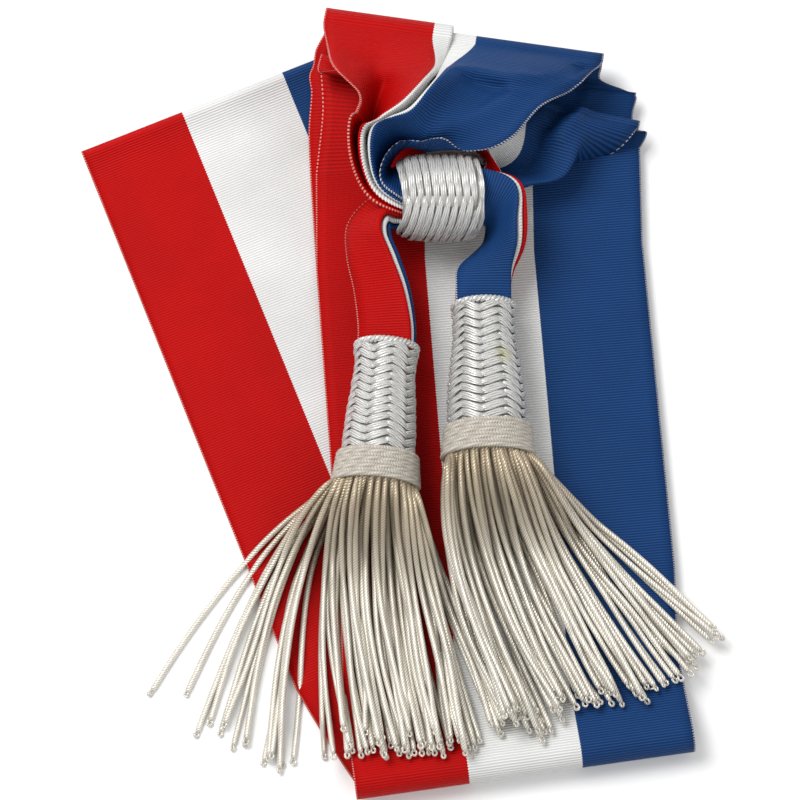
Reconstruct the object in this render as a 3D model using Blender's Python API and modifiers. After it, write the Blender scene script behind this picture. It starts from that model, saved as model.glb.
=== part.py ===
"""A French mayoral sash in three stripes, laid flat as a double loop with its two tassels on top.

One woven ribbon makes the whole sash. It starts in the left tassel's head, runs through the slide,
folds over into the upper right leg, rolls under at the bottom into the floor leg, turns back at the
far end of the loop into the visible left leg, rolls up again into the lower right leg, folds over at
the top and runs back through the slide to the right tassel's head.
Metres, +Z up, +X to the right and +Y to the top of the laid sash. The floor is at z = 0.
"""

from collections import namedtuple
from math import atan2, cos, degrees, hypot, pi, radians, sin, sqrt, tan

import bmesh
import bpy
from mathutils import Vector

MM = 0.001

# Ribbon
RIBBON_WIDTH = 120 * MM
RIBBON_WALL = 1.0 * MM
LAYER_GAP = 0.35 * MM
LEFT_LEG = 265 * MM
RIGHT_LEG = 262 * MM
BOTTOM_ROLL = 5.0 * MM
LOOP_ROLL = 2.2 * MM
TOP_ROLL = 5.2 * MM
INNER_TOP_ROLL = 2.6 * MM

# Slide
SLIDE_LENGTH = 30 * MM
SLIDE_WALL = 2.6 * MM
SLIDE_CROWN = 1.6 * MM
SEAT_GAP = 0.3 * MM

# Tassels
HEAD_WALL = 1.2 * MM
HEAD_LIP = 0.5 * MM
STRAP_IN_HEAD = 4 * MM
CORE_IN_HEAD = 8 * MM
COLLAR_HEIGHT = 11 * MM
COLLAR_LAP = 4 * MM
COLLAR_WALL = 1.3 * MM
LOCK_COUNT = 8
LOCK_THICKNESS = 2.4 * MM
RISE_START = 29 * MM
RISE_SLOPE = 20
EDGE_REACH = 25 * MM
VALLEY = 0.55
VALLEY_PULL = 0.07

# Where the rolls lie, in ribbon widths from the origin, and how the legs lean from +Y
BOTTOM_AXIS = (0.361, -1.080)
LEFT_CHORD = radians(23.3)
RIGHT_CHORD = radians(4.45)

# The ribbon's folds lengthwise: where each panel ends, as a share of the width
PANEL_ENDS = (1 / 6, 1 / 3, 0.348, 1 / 2, 2 / 3, 5 / 6, 1)
PLEAT_PANEL = 2
BLUE_PANELS = 5
PLEAT_REACH = 0.049

# Share by which the blue third is longer along the pleated top fold, which it crosses at a slant
BLUE_SLANT = 0.21

# How far the pleated top fold is off the leg's middle line
TOP_SHIFT = -3.5 * MM
PANEL_WAYS = (-1, 1, -1, -1, 1, -1, 1)
BEND_STEPS = 2
WIDEST_BEND = RIBBON_WIDTH / 20

PITCH = RIBBON_WALL + LAYER_GAP
MOST_SIDES = 18
FLOOR_LEVEL, LEFT_LEVEL, LOWER_LEVEL, UPPER_LEVEL = (
    RIBBON_WALL / 2 + layer * PITCH for layer in range(4)
)
LEG_TOP = UPPER_LEVEL + RIBBON_WALL / 2

# Two bundles of six layers, one on the other, fill the slide
BUNDLE_WIDTH = RIBBON_WIDTH / 6 + PITCH / 2
BUNDLE_DEPTH = 5 * PITCH + RIBBON_WALL
BUNDLE_OFFSET = (BUNDLE_DEPTH + LAYER_GAP) / 2
SLIDE_BORE = hypot(BUNDLE_WIDTH / 2, 2 * BUNDLE_OFFSET) + 4 * SEAT_GAP
SLIDE_RADIUS = SLIDE_BORE + SLIDE_WALL
AXIS_HEIGHT = LEG_TOP + SEAT_GAP + SLIDE_RADIUS
HEAD_BORE = hypot(BUNDLE_WIDTH, BUNDLE_DEPTH) / 2 + HEAD_LIP
RIM_RADIUS = HEAD_BORE + HEAD_WALL

SLIDE_PLACE = (0.120 * RIBBON_WIDTH, 0.583 * RIBBON_WIDTH)
SLIDE_TURNS = ((-1, 40), (0, 14), (1, -12))

# Each tassel: rim centre, head's lower end (in ribbon widths) and radius at waist, belly and lower end
Tassel = namedtuple("Tassel", "rim_x rim_y end_x end_y waist belly end tips")
# Where the locks' tips lie, in ribbon widths, from the left lock to the right one
LEFT_TIPS = (
    (-0.712, -0.883),
    (-0.597, -0.986),
    (-0.485, -1.032),
    (-0.388, -1.079),
    (-0.262, -1.090),
    (-0.118, -1.075),
    (0.035, -1.080),
    (0.185, -1.055),
)
RIGHT_TIPS = (
    (0.340, -0.990),
    (0.425, -0.940),
    (0.500, -0.933),
    (0.582, -0.933),
    (0.672, -0.905),
    (0.757, -0.890),
    (0.848, -0.818),
    (0.930, -0.732),
)
LEFT_TASSEL = Tassel(-0.0387, 0.1382, -0.0675, -0.2380, 11.0 * MM, 13.0 * MM, 13.0 * MM, LEFT_TIPS)
RIGHT_TASSEL = Tassel(0.2498, 0.2615, 0.2590, -0.1560, 11.6 * MM, 14.3 * MM, 13.9 * MM, RIGHT_TIPS)

# A lock's sections: share of its way from the collar to the tip, and how far it has flattened
LOCK_SECTIONS = (
    (0.05, 0.10),
    (0.22, 0.52),
    (0.48, 0.85),
    (0.74, 0.95),
    (1.00, 1.00),
)
Station = namedtuple("Station", "x y z heading tilt angles")
FLAT = (0, 0, 0, 0, 0, 0, 0)


def bundle(turn):
    """Panel angles of the six-layer bundle, its layers stacked towards the angle turn."""
    return tuple(turn + 90 * way for way in PANEL_WAYS)


# Front-most gather: from the outer top fold down to the slide's left mouth.
# x and y in ribbon widths, height as a share of the slide axis' height over the legs, heading of the
# line across the ribbon and the angle of each lengthwise panel in degrees
#   x, y, height, heading, red 1, red 2, white 1, white 2, white 3, blue 1, blue 2
FRONT_GATHER = (
    (0.134, 1.000, 1.12, -9, -8, 12, -50, -140, 52, 6, -4),
    (0.096, 0.905, 1.50, -11, -34, 40, -80, -90, 84, -24, 16),
    (0.040, 0.808, 1.74, -14, -76, 66, -84, -90, 84, -34, 14),
    (-0.014, 0.764, 1.69, -14, -78, 84, -86, -92, 84, -50, 18),
    (-0.066, 0.744, 1.64, -7, -82, 90, -87, -87, 90, -59, 33),
    (-0.063, 0.640, 1.23, 54, -60, 116, -62, -62, 116, -64, 107),
)

# Back gather: from the slide's right mouth up to the inner top fold, seen face down
BACK_GATHER = (
    (0.290, 0.640, 0.80, -62, 10, 188, 9, 9, 188, 8, 186),
    (0.252, 0.728, 0.78, -40, -28, 96, -60, -60, 90, -42, 136),
    (0.236, 0.806, 0.82, -26, -14, 22, -40, -40, 52, -18, 134),
    (0.232, 0.888, 0.80, -12, -8, 8, -16, -16, 24, -12, 28),
)

# Top of the upper right leg, from the inner fold down to where it lies flat
UPPER_TOP = (
    (0.260, 0.860, 0.13, -4, 0, 0, 0, 0, 0, 0, 0),
    (0.240, 0.740, -0.029, 4.9, 0, 0, 0, 0, 0, 0, 0),
)

# Top of the lower right leg, where a pleat narrows the ribbon before the outer fold
PLEATED_TOP = (
    (0.222, 0.740, -0.107, 4.9, 0, 0, 0, 0, 0, 0, 0),
    (0.218, 0.860, 0.02, 3, 0, 0, 0, 0, 0, 0, 0),
    (0.226, 0.955, 0.13, -1, 0, 0, 0, 0, 0, 0, 0),
    (0.198, 1.000, 0.20, -5, 0, 2, -4, -70, 29, 0, 0),
    (0.152, 1.045, 0.20, -7, 0, 2, -2, -135, 22, 0, 0),
)

# Strap to the left tassel, from its head up to the slide's left mouth, seen face down
LEFT_STRAP = (
    (-0.038, 0.190, 0.78, -3, 70),
    (-0.052, 0.300, 0.84, -2, 60),
    (-0.078, 0.400, 0.90, -6, 50),
    (-0.090, 0.480, 0.95, -25, 40),
    (-0.058, 0.535, 0.97, -62, 33),
)

# Strap to the right tassel, from the slide's right mouth down to its head, face up
RIGHT_STRAP = (
    (0.308, 0.556, 1.16, 52, 122),
    (0.316, 0.490, 1.07, 28, 142),
    (0.296, 0.425, 0.98, 8, 128),
    (0.258, 0.365, 0.86, 0, 102),
    (0.2495, 0.310, 0.80, 0, 90),
)
SUBSTEPS = 2
ROLL_STEPS = 5
EASING = 30 * MM
BOTTOM_HEADING, LOOP_HEADING, TOP_HEADING, INNER_HEADING = 8.0, 22.5, -8.3, -12.4
PLEAT = (0, 0, 0, -180, 0, 0, 0)


def widths(x, y):
    return x * RIBBON_WIDTH, y * RIBBON_WIDTH


def height(share):
    return LEG_TOP + share * (AXIS_HEIGHT - LEG_TOP)


def from_table(rows, tilt):
    made = []
    for x, y, share, heading, *angles in rows:
        panels = bundle(angles[0]) if len(angles) == 1 else tuple(angles)
        made.append(Station(*widths(x, y), height(share), heading, tilt, panels))
    return made


def blended(stations, substeps):
    """The stations with smooth ones added between them, on Catmull-Rom curves."""
    values = [(s.x, s.y, s.z, s.heading, s.tilt, *s.angles) for s in stations]
    made = []
    for i in range(len(values) - 1):
        before = values[max(i - 1, 0)]
        after = values[min(i + 2, len(values) - 1)]
        for step in range(substeps):
            t = step / substeps
            point = []
            for a, b, c, d in zip(before, values[i], values[i + 1], after):
                slope_b, slope_c = (c - a) / 2, (d - b) / 2
                point.append(
                    (1 + 2 * t) * (1 - t) ** 2 * b
                    + t * (1 - t) ** 2 * slope_b
                    + t * t * (3 - 2 * t) * c
                    + t * t * (t - 1) * slope_c
                )
            made.append(Station(*point[:5], tuple(point[5:])))
    made.append(stations[-1])
    return made


def across(angles):
    """Points across the ribbon, as offsets from their middle along the heading and the normal."""
    turns = [radians(b - a) for a, b in zip(angles, angles[1:])]
    tucked = min(max(abs(turns[PLEAT_PANEL]) / pi, 1 - abs(turns[PLEAT_PANEL - 1]) / pi), 1)
    ends = list(PANEL_ENDS)
    ends[PLEAT_PANEL] += PLEAT_REACH * tucked
    lengths = [end - start for start, end in zip((0, *ends), ends)]
    slant = 1 + BLUE_SLANT * min(abs(turns[PLEAT_PANEL]) * 2 / pi, 1)
    lengths[BLUE_PANELS:] = [length * slant for length in lengths[BLUE_PANELS:]]
    bends = [min(PITCH / 2 * pi * pi / max(abs(t), 0.01), WIDEST_BEND) for t in turns]
    bends[PLEAT_PANEL] = min(bends[PLEAT_PANEL], PITCH / 2 + WIDEST_BEND * tucked)
    x, y, direction = 0.0, 0.0, radians(angles[0])
    points = [(x, y)]
    weight = [0.0]
    total_x = total_y = 0.0
    for i, length in enumerate(lengths):
        run = length * RIBBON_WIDTH
        run -= (bends[i - 1] / 2 if i else 0) + (bends[i] / 2 if i < len(turns) else 0)
        x, y = x + run * cos(direction), y + run * sin(direction)
        points.append((x, y))
        weight.append(run)
        if i == len(turns):
            break
        for _ in range(BEND_STEPS):
            part = turns[i] / BEND_STEPS
            chord = bends[i] / BEND_STEPS
            if abs(part) > 0.001:
                chord *= sin(part / 2) / (part / 2)
            direction += part / 2
            x, y = x + chord * cos(direction), y + chord * sin(direction)
            direction += part / 2
            points.append((x, y))
            weight.append(chord)
    for (ax, ay), (bx, by), run in zip(points, points[1:], weight[1:]):
        total_x += run * (ax + bx) / 2
        total_y += run * (ay + by) / 2
    middle_x, middle_y = total_x / sum(weight), total_y / sum(weight)
    return [(px - middle_x, py - middle_y) for px, py in points]


def edges_of(line, wall):
    """The two sides of a wall whose middle is the line, within the section's own plane."""
    sides = ([], [])
    for i, (x, y) in enumerate(line):
        before = line[max(i - 1, 0)]
        after = line[min(i + 1, len(line) - 1)]
        if i == 0:
            before = (2 * x - after[0], 2 * y - after[1])
        if i == len(line) - 1:
            after = (2 * x - before[0], 2 * y - before[1])
        first = atan2(y - before[1], x - before[0])
        turn = (atan2(after[1] - y, after[0] - x) - first + pi) % (2 * pi) - pi
        normal = first + turn / 2 + pi / 2
        reach = wall / 2 / cos(turn / 2)
        for side, sign in zip(sides, (1, -1)):
            side.append((x + sign * reach * cos(normal), y + sign * reach * sin(normal)))
    return sides


def placed(station, line):
    """Points of a line in the station's section plane, as points in space."""
    heading, tilt = radians(station.heading), radians(station.tilt)
    along = Vector((cos(heading), sin(heading), 0))
    outward = Vector((-sin(heading), cos(heading), 0))
    normal = cos(tilt) * Vector((0, 0, 1)) + sin(tilt) * outward
    middle = Vector((station.x, station.y, station.z))
    return [middle + a * along + b * normal for a, b in line]


def roll(axis, heading, side, low, high, radius, tilts, slope=0, easing=0, angles=FLAT):
    """Stations from the lower leg round a roll and, with a slope, down onto the upper leg."""
    turn = radians(heading)
    way = (-side * sin(turn), side * cos(turn))
    profile = []
    for step in range(ROLL_STEPS + 1):
        swing = (180 + slope) * step / ROLL_STEPS
        phi = radians(swing - 90)
        profile.append((radius * cos(phi), low + radius + radius * sin(phi), swing))
    if slope:
        steep, half = radians(slope), radians(slope / 2)
        depth, level, _ = profile[-1]
        run = (level - high - easing * (1 - cos(steep))) / sin(steep)
        depth, level = depth - run * cos(steep), level - run * sin(steep)
        profile.append((depth, level, 180 + slope))
        across_half = easing * (sin(steep) - sin(half))
        profile.append((depth - across_half, level - easing * (cos(half) - cos(steep)), 180 + slope / 2))
        profile.append((depth - easing * sin(steep), high, 180))
    lower_tilt, upper_tilt = tilts
    return [
        Station(
            axis[0] + way[0] * depth,
            axis[1] + way[1] * depth,
            level,
            heading,
            lower_tilt + (upper_tilt - lower_tilt) * swing / 180,
            angles,
        )
        for depth, level, swing in profile
    ]


def leg_point(base, lean, distance, sideways=0.0):
    x = base[0] - sin(lean) * distance + cos(lean) * sideways
    y = base[1] + cos(lean) * distance + sin(lean) * sideways
    return x, y


def mouth(end, turn, side):
    """Centre of one bundle at a place along the slide, the pair turned about the slide's axis."""
    x = SLIDE_PLACE[0] + end * SLIDE_LENGTH / 2
    y = SLIDE_PLACE[1] + side * BUNDLE_OFFSET * sin(radians(turn))
    z = AXIS_HEIGHT + side * BUNDLE_OFFSET * cos(radians(turn))
    return x, y, z


def tassel_frame(tassel):
    """Centre of the head's rim and the unit vectors along the head, to its side and upward."""
    rim = Vector((*widths(tassel.rim_x, tassel.rim_y), LEG_TOP + SEAT_GAP + RIM_RADIUS))
    low = LEG_TOP + SEAT_GAP + collar_radius(tassel)
    along = Vector((*widths(tassel.end_x, tassel.end_y), low)) - rim
    side = along.cross(Vector((0, 0, 1))).normalized()
    return rim, along.normalized(), side, side.cross(along).normalized(), along.length


def collar_radius(tassel):
    return tassel.end + LAYER_GAP + COLLAR_WALL + 1.2 * MM


def strap_end(tassel, tilt, turn):
    """The ribbon's last section, square to the head's axis and a little inside its rim."""
    rim, along, side, _, _ = tassel_frame(tassel)
    place = rim + STRAP_IN_HEAD * along
    return Station(*place, degrees(atan2(-side.y, -side.x)), tilt, bundle(turn))


def ribbon_stations():
    bottom = widths(*BOTTOM_AXIS)
    loop = leg_point(bottom, LEFT_CHORD, LEFT_LEG)
    top = leg_point(bottom, RIGHT_CHORD, RIGHT_LEG, TOP_SHIFT)
    inner_top = (top[0] + 0.079 * RIBBON_WIDTH, top[1] - 0.160 * RIBBON_WIDTH)
    bottom_low = LEFT_LEVEL
    raised = UPPER_LEVEL + 3.3 * PITCH

    back_bundle = [
        Station(*mouth(end, turn, -1), -90 + 5 * end, -180, bundle(90 - turn)) for end, turn in SLIDE_TURNS
    ]
    front_bundle = [
        Station(*mouth(end, turn, 1), 80 - 5 * end, -360, bundle(90 - turn)) for end, turn in SLIDE_TURNS
    ]
    inner_fold = roll(inner_top, INNER_HEADING, 1, raised, 0, INNER_TOP_ROLL, (0, -180))[::-1]
    outer_roll = roll(
        bottom,
        BOTTOM_HEADING,
        -1,
        FLOOR_LEVEL,
        UPPER_LEVEL,
        BOTTOM_ROLL + PITCH,
        (-180, 0),
        RISE_SLOPE,
        EASING - PITCH,
    )[::-1]
    loop_roll = roll(loop, LOOP_HEADING, 1, FLOOR_LEVEL, LEFT_LEVEL, LOOP_ROLL, (-180, -360), 25, EASING)
    inner_roll = roll(
        bottom,
        BOTTOM_HEADING,
        -1,
        LEFT_LEVEL,
        LOWER_LEVEL,
        BOTTOM_ROLL,
        (-360, -180),
        RISE_SLOPE,
        EASING,
    )
    outer_fold = roll(top, TOP_HEADING, 1, LOWER_LEVEL + 3.3 * PITCH, 0, TOP_ROLL, (-180, -360), angles=PLEAT)

    def leg(shares, level, tilt, heading, lean, length, base):
        made = []
        for share, sideways in shares:
            x, y = leg_point(base, lean, share * length, sideways * RIBBON_WIDTH)
            made.append(Station(x, y, level, heading, tilt, FLAT))
        return made

    left_rows = ((0.20, -0.035), (0.90, -0.004))
    right_rows = ((0.24, 0.0), (0.70, 0.0))
    upper_leg = leg(right_rows[::-1], UPPER_LEVEL, 0, 4.9, RIGHT_CHORD, RIGHT_LEG, bottom)
    floor_leg = leg(left_rows, FLOOR_LEVEL, -180, 22.2, LEFT_CHORD, LEFT_LEG, bottom)
    left_leg = leg(left_rows[::-1], LEFT_LEVEL, -360, 22.2, LEFT_CHORD, LEFT_LEG, bottom)
    lower_leg = leg(right_rows, LOWER_LEVEL, -180, 4.9, RIGHT_CHORD, RIGHT_LEG, bottom)

    left = [strap_end(LEFT_TASSEL, -180, 72)] + from_table(LEFT_STRAP, -180) + back_bundle
    left += from_table(BACK_GATHER, -180) + inner_fold[:1]
    right = outer_fold[-1:] + from_table(FRONT_GATHER, -360) + front_bundle
    right += from_table(RIGHT_STRAP, -360) + [strap_end(RIGHT_TASSEL, -360, 88)]
    return (
        blended(left, SUBSTEPS)
        + inner_fold[1:]
        + from_table(UPPER_TOP, 0)
        + upper_leg
        + outer_roll
        + floor_leg
        + loop_roll
        + left_leg
        + inner_roll
        + lower_leg
        + from_table(PLEATED_TOP, -180) + outer_fold[:1]
        + outer_fold[1:-1]
        + blended(right, SUBSTEPS)
    )


def clear_scene():
    for obj in list(bpy.data.objects):
        bpy.data.objects.remove(obj)


def material(name, colour, roughness):
    made = bpy.data.materials.new(name)
    made.use_nodes = True
    shader = made.node_tree.nodes["Principled BSDF"]
    shader.inputs["Base Color"].default_value = (*colour, 1)
    shader.inputs["Roughness"].default_value = roughness
    made.diffuse_color = (*colour, 1)
    return made


def add(name, mesh, collection, *materials):
    obj = bpy.data.objects.new(name, mesh)
    for item in materials:
        mesh.materials.append(item)
    collection.objects.link(obj)
    return obj


def cell_slants():
    """Which way each cell across the ribbon is split, so that stacked panels twist alike."""
    slants = []
    for i, way in enumerate(PANEL_WAYS):
        slants.append(way)
        if i < len(PANEL_WAYS) - 1:
            slants += [way] * (BEND_STEPS - 1) + [PANEL_WAYS[i + 1]]
    return slants


def stripe_of(cell):
    """Which of the three stripes a cell across the ribbon belongs to."""
    panel = (cell + 1) // (BEND_STEPS + 1)
    return 0 if panel < 2 else 1 if panel < 5 else 2


def make_ribbon(collection):
    """The ribbon's closed sections lofted from one tassel to the other."""
    bm = bmesh.new()
    rings = []
    for station in ribbon_stations():
        front, back = edges_of(across(station.angles), RIBBON_WALL)
        rings.append([bm.verts.new(p) for p in placed(station, back + front[::-1])])
    half = len(rings[0]) // 2
    slants = cell_slants()
    for ring, after in zip(rings, rings[1:]):
        for i, slant in enumerate(slants):
            for a, b in ((i, i + 1), (2 * half - 1 - i, 2 * half - 2 - i)):
                if slant < 0:
                    pair = ((ring[a], ring[b], after[b]), (ring[a], after[b], after[a]))
                else:
                    pair = ((ring[a], ring[b], after[a]), (ring[b], after[b], after[a]))
                for corners in pair:
                    bm.faces.new(corners).material_index = stripe_of(i)
        for a, b in ((0, 2 * half - 1), (half - 1, half)):
            face = bm.faces.new((ring[a], ring[b], after[b], after[a]))
            face.material_index = 0 if a == 0 else 2
    for ring in (rings[0], rings[-1]):
        for i in range(half - 1):
            face = bm.faces.new((ring[i], ring[i + 1], ring[-2 - i], ring[-1 - i]))
            face.material_index = stripe_of(i)
    bmesh.ops.recalc_face_normals(bm, faces=bm.faces)
    mesh = bpy.data.meshes.new("ribbon")
    bm.to_mesh(mesh)
    bm.free()
    red = material("ribbon_red", (0.60, 0.01, 0.012), 0.55)
    white = material("ribbon_white", (0.80, 0.80, 0.79), 0.55)
    blue = material("ribbon_blue", (0.015, 0.045, 0.21), 0.55)
    return add("ribbon", mesh, collection, red, white, blue)


def turned(name, outer, inner, start, direction, collection, finish):
    """A hollow turned piece: outer and inner are radius and distance pairs along the direction."""
    length = outer[-1][1]
    profile = [(r, 0, length - at) for r, at in outer] + [(r, 0, length - at) for r, at in inner[::-1]]
    links = [(i, (i + 1) % len(profile)) for i in range(len(profile))]
    mesh = bpy.data.meshes.new(name)
    mesh.from_pydata(profile, links, [])
    obj = add(name, mesh, collection, finish)
    spin = obj.modifiers.new("turn", "SCREW")
    spin.axis = "Z"
    spin.steps = spin.render_steps = MOST_SIDES
    spin.use_merge_vertices = True
    spin.merge_threshold = 0.00001
    spin.use_normal_calculate = True
    obj.rotation_euler = (-direction).to_track_quat("Z", "Y").to_euler()
    obj.location = start + direction * length
    return obj


def make_slide(collection):
    """The woven ring round both bundles, wider in the middle than at its ends."""
    half = SLIDE_LENGTH / 2
    crown = SLIDE_RADIUS - SLIDE_CROWN
    outer = [
        (crown - 0.4 * MM, 0),
        (crown + 0.5 * SLIDE_CROWN, 0.12 * SLIDE_LENGTH),
        (SLIDE_RADIUS, half),
        (crown + 0.5 * SLIDE_CROWN, 0.88 * SLIDE_LENGTH),
        (crown - 0.4 * MM, SLIDE_LENGTH),
    ]
    inner = [(SLIDE_BORE, 0), (SLIDE_BORE, SLIDE_LENGTH)]
    start = Vector((*SLIDE_PLACE, AXIS_HEIGHT)) - Vector((half, 0, 0))
    gold = material("slide_cord", (0.56, 0.52, 0.45), 0.7)
    return turned("slide", outer, inner, start, Vector((1, 0, 0)), collection, gold)


def make_head(side_name, tassel, collection):
    rim, along, _, _, length = tassel_frame(tassel)
    outer = [
        (RIM_RADIUS, 0),
        (RIM_RADIUS, 0.06 * length),
        (tassel.waist, 0.24 * length),
        (tassel.belly, 0.66 * length),
        (tassel.end, length),
    ]
    inner = [
        (HEAD_BORE, 0),
        (HEAD_BORE, STRAP_IN_HEAD + 1 * MM),
        (tassel.waist - HEAD_WALL, 0.25 * length),
        (tassel.belly - HEAD_WALL, 0.66 * length),
        (tassel.end - HEAD_WALL, length),
    ]
    name = "tassel_head_" + side_name
    return turned(name, outer, inner, rim, along, collection, material(name, (0.62, 0.61, 0.58), 0.75))


def make_collar(side_name, tassel, collection):
    rim, along, _, _, length = tassel_frame(tassel)
    bore = tassel.end + LAYER_GAP
    outer = [
        (bore + COLLAR_WALL, 0),
        (bore + COLLAR_WALL + 0.5 * MM, 0.35 * COLLAR_HEIGHT),
        (bore + COLLAR_WALL + 1.2 * MM, 0.8 * COLLAR_HEIGHT),
        (bore + COLLAR_WALL + 0.8 * MM, COLLAR_HEIGHT),
    ]
    inner = [(bore, 0), (bore, COLLAR_HEIGHT)]
    start = rim + (length - COLLAR_LAP) * along
    name = "tassel_collar_" + side_name
    return turned(name, outer, inner, start, along, collection, material(name, (0.50, 0.42, 0.32), 0.8))


def resting_level(x, y, reach):
    """Top of the highest leg under a disc round (x, y), or of the floor."""
    bottom = widths(*BOTTOM_AXIS)
    turn = radians(BOTTOM_HEADING)
    above_roll = (y - bottom[1]) * cos(turn) - (x - bottom[0]) * sin(turn)
    rise = max(RISE_START - max(above_roll, 0), 0) * tan(radians(RISE_SLOPE))
    level = 0.0
    for lean, flat_top in ((LEFT_CHORD, LEFT_LEVEL + RIBBON_WALL / 2), (RIGHT_CHORD, LEG_TOP)):
        top = flat_top + rise
        sideways = (x - bottom[0]) * cos(lean) + (y - bottom[1]) * sin(lean)
        if abs(sideways) < RIBBON_WIDTH / 2 + reach or x > bottom[0] + RIBBON_WIDTH / 4:
            level = top
    return level


def lock_columns(tassel):
    """Lines along the fringe: the crown of each lock and the valleys between, as share, tip and fullness."""
    tips = [Vector((*widths(*tip), 0)) for tip in tassel.tips]
    first, last = tips[0] * 1.5 - tips[1] * 0.5, tips[-1] * 1.5 - tips[-2] * 0.5
    columns = [(-1, first, 0.4)]
    for i, tip in enumerate(tips):
        columns.append(((2 * i + 1) / LOCK_COUNT - 1, tip, 1))
        valley = (tip + tips[i + 1]) / 2 if i < LOCK_COUNT - 1 else last
        columns.append(((2 * i + 2) / LOCK_COUNT - 1, valley, VALLEY if i < LOCK_COUNT - 1 else 0.4))
    return columns


def make_fringe(side_name, tassel, collection):
    """The fringe in one piece: a core that ends inside the head, spreading into locks on the cloth."""
    rim, along, side, up, length = tassel_frame(tassel)
    radius = tassel.end - HEAD_WALL - LAYER_GAP
    columns = lock_columns(tassel)
    top_end = rim + (length - CORE_IN_HEAD) * along
    low_end = rim + (length + COLLAR_HEIGHT - COLLAR_LAP) * along
    bm = bmesh.new()
    rings = []

    def add_ring(points):
        rings.append([bm.verts.new(middle + lift) for middle, lift in points])
        rings[-1] += [bm.verts.new(middle - lift) for middle, lift in points[::-1]]

    for centre in (top_end, low_end):
        points = []
        for share, _, fullness in columns:
            tall = radius * max(sqrt(1 - share * share), 0.15) * (1 if fullness == 1 else 0.95)
            points.append((centre - share * radius * side, tall * up))
        add_ring(points)
    for way, flatter in LOCK_SECTIONS:
        points = []
        for share, tip, fullness in columns:
            start = low_end - share * radius * side
            round_height = 2 * radius * max(sqrt(1 - share * share), 0.15)
            tall = round_height + (LOCK_THICKNESS - round_height) * flatter
            reach = 1 if fullness == 1 else 1 - VALLEY_PULL * way
            ahead = start + along * 12 * MM * min(1, 4 * way)
            middle = ahead.lerp(tip, way * reach)
            rest = resting_level(middle.x, middle.y, EDGE_REACH) + SEAT_GAP + tall / 2
            middle.z = rest if way > 0.1 else max(rest, low_end.z - 1 * MM)
            points.append((middle, Vector((0, 0, tall / 2 * (fullness if flatter > 0.5 else 1)))))
        add_ring(points)
    count = len(rings[0])
    for ring, after in zip(rings, rings[1:]):
        for i in range(count):
            j = (i + 1) % count
            bm.faces.new((ring[i], ring[j], after[j]))
            bm.faces.new((ring[i], after[j], after[i]))
    for ring in (rings[0], rings[-1]):
        for i in range(count // 2 - 1):
            bm.faces.new((ring[i], ring[i + 1], ring[-2 - i], ring[-1 - i]))
    bmesh.ops.recalc_face_normals(bm, faces=bm.faces)
    name = "fringe_" + side_name
    mesh = bpy.data.meshes.new(name)
    bm.to_mesh(mesh)
    bm.free()
    return add(name, mesh, collection, material(name, (0.58, 0.55, 0.48), 0.8))


def main():
    clear_scene()
    sash = bpy.data.collections.new("mayoral_sash")
    bpy.context.scene.collection.children.link(sash)
    make_ribbon(sash)
    make_slide(sash)
    for side_name, tassel in (("left", LEFT_TASSEL), ("right", RIGHT_TASSEL)):
        make_head(side_name, tassel, sash)
        make_collar(side_name, tassel, sash)
        make_fringe(side_name, tassel, sash)


main()
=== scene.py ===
"""Looks of the laid mayoral sash: ribbed ribbon, knitted slide and heads, corded collars, twisted fringe.

The ribbon repeats the tables of the solid's source, with more sections and rounder folds.
Metres, +Z up, +X to the right and +Y to the top of the laid sash.
"""

from collections import namedtuple
from math import atan2, ceil, cos, degrees, hypot, pi, radians, sin, tan

import bpy
import numpy as np
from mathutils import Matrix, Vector


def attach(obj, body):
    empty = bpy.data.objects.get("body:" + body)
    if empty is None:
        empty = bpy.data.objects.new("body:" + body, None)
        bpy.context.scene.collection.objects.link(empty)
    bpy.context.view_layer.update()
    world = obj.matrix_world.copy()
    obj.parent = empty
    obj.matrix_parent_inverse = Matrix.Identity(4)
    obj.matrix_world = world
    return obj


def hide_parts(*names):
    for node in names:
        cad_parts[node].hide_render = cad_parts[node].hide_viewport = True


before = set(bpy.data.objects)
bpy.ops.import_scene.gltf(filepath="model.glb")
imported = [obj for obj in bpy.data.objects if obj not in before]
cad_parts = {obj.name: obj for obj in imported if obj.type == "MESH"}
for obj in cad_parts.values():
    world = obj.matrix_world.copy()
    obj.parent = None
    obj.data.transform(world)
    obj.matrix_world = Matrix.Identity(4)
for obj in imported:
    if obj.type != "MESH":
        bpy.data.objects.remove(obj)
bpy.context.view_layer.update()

MM = 0.001

# Sizes of the solid's source
RIBBON_WIDTH = 120 * MM
RIBBON_WALL = 1.0 * MM
LAYER_GAP = 0.35 * MM
LEFT_LEG = 265 * MM
RIGHT_LEG = 262 * MM
BOTTOM_ROLL = 5.0 * MM
LOOP_ROLL = 2.2 * MM
TOP_ROLL = 5.2 * MM
INNER_TOP_ROLL = 2.6 * MM
SLIDE_LENGTH = 30 * MM
SLIDE_WALL = 2.6 * MM
SEAT_GAP = 0.3 * MM
HEAD_WALL = 1.2 * MM
HEAD_LIP = 0.5 * MM
STRAP_IN_HEAD = 4 * MM
COLLAR_HEIGHT = 11 * MM
COLLAR_LAP = 4 * MM
COLLAR_WALL = 1.3 * MM
COLLAR_SWELL = 1.2 * MM
RISE_START = 29 * MM
RISE_SLOPE = 20
BOTTOM_AXIS = (0.361, -1.080)
LEFT_CHORD = radians(23.3)
RIGHT_CHORD = radians(4.45)
PANEL_ENDS = (1 / 6, 1 / 3, 0.348, 1 / 2, 2 / 3, 5 / 6, 1)
PLEAT_PANEL = 2
PLEAT_REACH = 0.049
BLUE_SLANT = 0.21
TOP_SHIFT = -3.5 * MM
BLUE_PANELS = 5
PANEL_WAYS = (-1, 1, -1, -1, 1, -1, 1)
WIDEST_BEND = RIBBON_WIDTH / 20
PITCH = RIBBON_WALL + LAYER_GAP
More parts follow.
